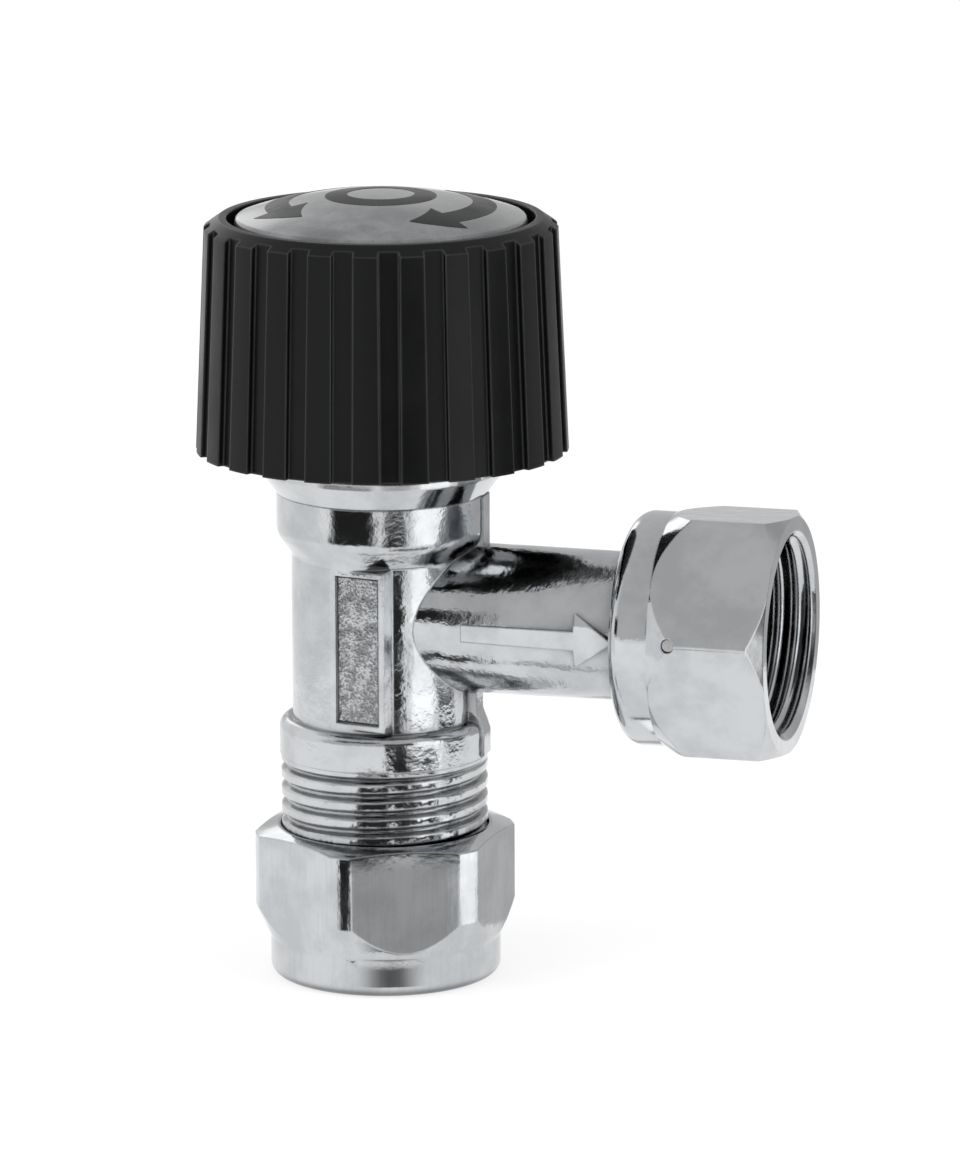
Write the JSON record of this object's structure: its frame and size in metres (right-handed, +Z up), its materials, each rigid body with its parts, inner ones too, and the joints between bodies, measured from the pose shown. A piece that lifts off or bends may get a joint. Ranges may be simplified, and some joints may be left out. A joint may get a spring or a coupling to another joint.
{
  "type": "angle isolating valve",
  "caption": "Chromed angle isolating valve with a ribbed black handwheel, a compression inlet for copper pipe below and a threaded swivel nut outlet at the side.",
  "frame": {"origin": "middle of the pipe hole at the foot face of the compression nut", "axes": "+Z up the inlet and spindle axis, +X along the outlet and out of the swivel nut, the flat panel of the body faces -Y"},
  "size_m": [0.0611, 0.0374, 0.0802],
  "materials": {
    "chromed_casting": "bright chrome plate on a brass casting",
    "chromed_turning": "bright chrome plate on turned brass",
    "brass": "bare turned brass",
    "stainless": "drawn stainless steel",
    "rubber": "black nitrile rubber",
    "white_plastic": "natural acetal",
    "black_plastic": "satin moulded black",
    "silver_plastic": "glossy domed silver grey"
  },
  "bodies": {
    "valve_body": {"valve_body": "chromed_casting", "bonnet": "chromed_turning", "bonnet_seal": "rubber"},
    "handwheel": {"handwheel": "black_plastic", "dome_cap": "silver_plastic", "handwheel_screw": "stainless", "spindle": "brass", "spindle_seal_lower": "rubber", "spindle_seal_upper": "rubber", "thrust_ring": "white_plastic", "spindle_clip": "stainless"},
    "valve_plug": {"valve_plug": "brass", "seat_washer": "rubber", "washer_screw": "stainless"},
    "olive": {"olive": "brass"},
    "compression_nut": {"compression_nut": "chromed_turning"},
    "swivel_nut": {"swivel_nut": "chromed_turning", "retaining_wire": "stainless", "outlet_washer": "rubber"}
  },
  "joints": [
    {"name": "handle_turn", "type": "hinge", "parent": "valve_body", "child": "handwheel", "pos_m": [0, 0, 0.05425], "axis": [0, 0, 1], "range_deg": [0, 1080]},
    {"name": "plug_lift", "type": "slide", "parent": "valve_body", "child": "valve_plug", "axis": [0, 0, 1], "range_m": [0, 0.00605]},
    {"name": "olive_slide", "type": "slide", "parent": "valve_body", "child": "olive", "axis": [0, 0, 1], "range_m": [-0.0073, 0]},
    {"name": "nut_turn", "type": "hinge", "parent": "olive", "child": "compression_nut", "pos_m": [0, 0, 0.008], "axis": [0, 0, 1], "range_deg": [-1440, 0]},
    {"name": "swivel_spin", "type": "hinge", "parent": "valve_body", "child": "swivel_nut", "pos_m": [0.0345, 0, 0.0373], "axis": [1, 0, 0], "continuous": true}
  ],
  "couplings": [
    {"joint": "plug_lift", "follows": "handle_turn", "m_per_rad": 0.00031831},
    {"joint": "olive_slide", "follows": "nut_turn", "m_per_rad": 0.00028871}
  ]
}
